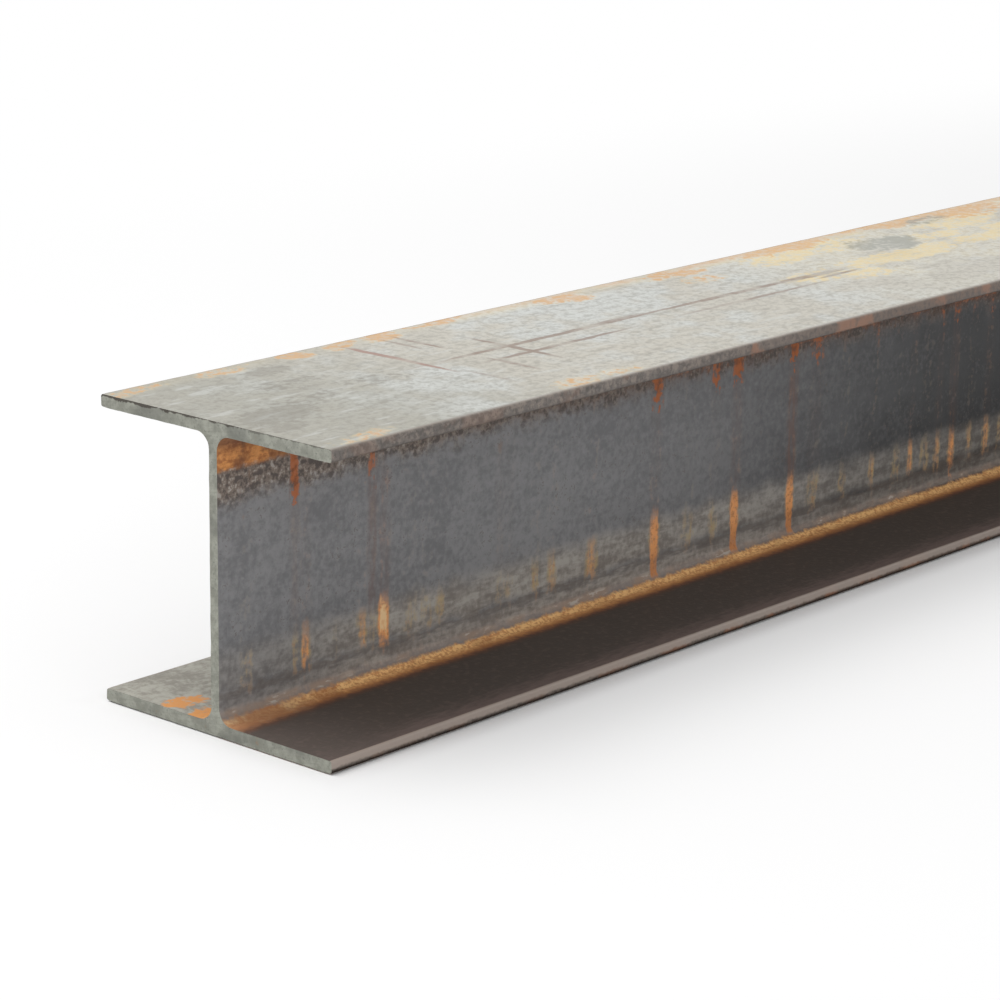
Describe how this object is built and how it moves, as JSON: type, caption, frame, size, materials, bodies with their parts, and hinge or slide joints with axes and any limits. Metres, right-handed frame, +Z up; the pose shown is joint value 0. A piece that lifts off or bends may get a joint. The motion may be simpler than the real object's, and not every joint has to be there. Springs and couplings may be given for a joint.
{
  "type": "steel universal column",
  "caption": "Hot-rolled wide-flange steel H-section bar with square-sawn ends, used as a building column, post or short beam.",
  "frame": {"origin": "on the floor under the middle of the bar, which lies on its lower flange", "axes": "+X along the bar, +Y across the flanges, +Z up through the depth of the section, square to the flanges"},
  "size_m": [2, 0.1522, 0.1524],
  "materials": {
    "rolled_steel": "satin"
  },
  "bodies": {
    "root": {"universal_column": "rolled_steel"}
  },
  "joints": []
}
